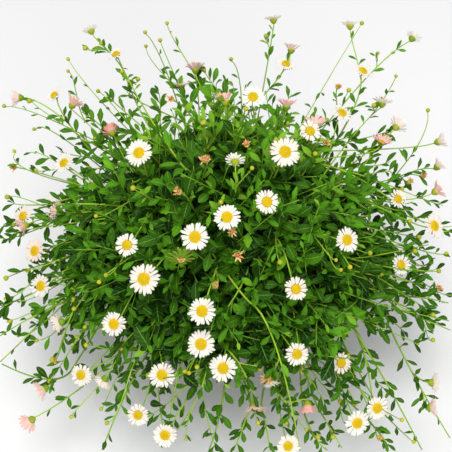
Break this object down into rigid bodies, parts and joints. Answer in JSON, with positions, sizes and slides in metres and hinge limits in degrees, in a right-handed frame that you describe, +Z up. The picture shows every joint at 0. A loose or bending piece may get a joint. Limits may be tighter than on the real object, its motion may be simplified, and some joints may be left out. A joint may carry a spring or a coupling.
{
  "type": "potted mexican fleabane",
  "caption": "Mexican fleabane in a plain round pot: a dense mound of small leaves with wiry stalks that carry white daisies, pink closing heads and buds.",
  "frame": {"origin": "centre of the pot's flat underside, on the surface that it stands on", "axes": "+Z up the pot's axis, -Y towards the front of the plant as the picture shows it, +X to its right"},
  "size_m": [0.3323, 0.3187, 0.2283],
  "materials": {
    "pot": "matt, faintly ribbed",
    "soil": "rough crumbs",
    "foliage": "satin leaves, slightly hairy",
    "flower_rays": "matt petals"
  },
  "bodies": {
    "root": {"bloom_01": "flower_rays", "bloom_02": "flower_rays", "bloom_03": "flower_rays", "bloom_04": "flower_rays", "bloom_05": "flower_rays", "bloom_06": "flower_rays", "bloom_07": "flower_rays", "bloom_08": "flower_rays", "bloom_09": "flower_rays", "bloom_10": "flower_rays", "bloom_11": "flower_rays", "bloom_12": "flower_rays", "bloom_13": "flower_rays", "bloom_14": "flower_rays", "bloom_15": "flower_rays", "bloom_16": "flower_rays", "bloom_17": "flower_rays", "bloom_18": "flower_rays", "bloom_19": "flower_rays", "bloom_20": "flower_rays", "bloom_21": "flower_rays", "bloom_22": "flower_rays", "bloom_23": "flower_rays", "bloom_24": "flower_rays", "bloom_25": "flower_rays", "bloom_26": "flower_rays", "bloom_27": "flower_rays", "bloom_28": "flower_rays", "bloom_29": "flower_rays", "bloom_30": "flower_rays", "bloom_31": "flower_rays", "bloom_32": "flower_rays", "bloom_33": "flower_rays", "bloom_34": "flower_rays", "bloom_35": "flower_rays", "bloom_36": "flower_rays", "leafy_stem_01": "foliage", "leafy_stem_02": "foliage", "leafy_stem_03": "foliage", "leafy_stem_04": "foliage", "leafy_stem_05": "foliage", "leafy_stem_06": "foliage", "leafy_stem_07": "foliage", "leafy_stem_08": "foliage", "leafy_stem_09": "foliage", "leafy_stem_10": "foliage", "leafy_stem_11": "foliage", "leafy_stem_12": "foliage", "leafy_stem_13": "foliage", "leafy_stem_14": "foliage", "pot": "pot", "soil": "soil"}
  },
  "joints": []
}
